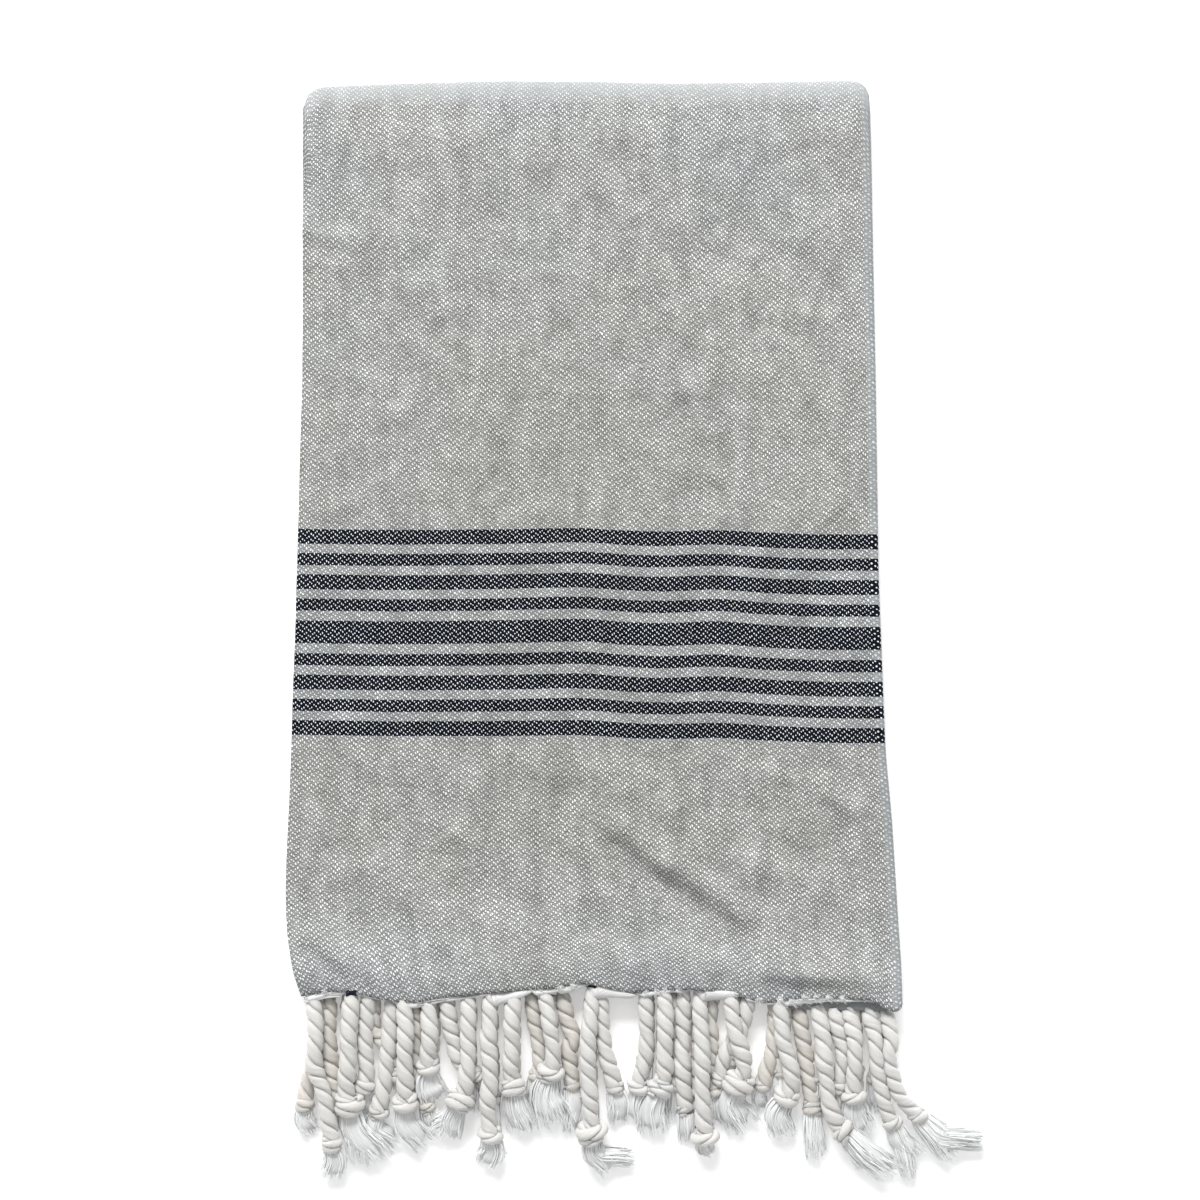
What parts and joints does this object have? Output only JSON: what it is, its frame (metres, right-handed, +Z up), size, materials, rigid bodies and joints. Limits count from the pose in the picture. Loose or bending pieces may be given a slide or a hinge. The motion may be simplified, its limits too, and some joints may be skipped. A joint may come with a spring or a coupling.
{
  "type": "folded hammam towel",
  "caption": "Striped woven hammam towel lying folded in four layers, with a comb of knotted, twisted tassels along each folded hem.",
  "frame": {"origin": "centre of the bounding box, at the surface that the towel lies on", "axes": "+Y along the towel from the tassels to the top fold, +X towards the lengthwise fold, +Z up from the surface"},
  "size_m": [0.2886, 0.4564, 0.0134],
  "materials": {
    "woven_cotton": "matt broken-twill weave, warm grey with navy weft stripes",
    "cotton_yarn": "matt off-white twisted cotton yarn"
  },
  "bodies": {
    "root": {"towel_cloth": "woven_cotton", "fringe_front": "cotton_yarn", "fringe_back": "cotton_yarn"}
  },
  "joints": []
}
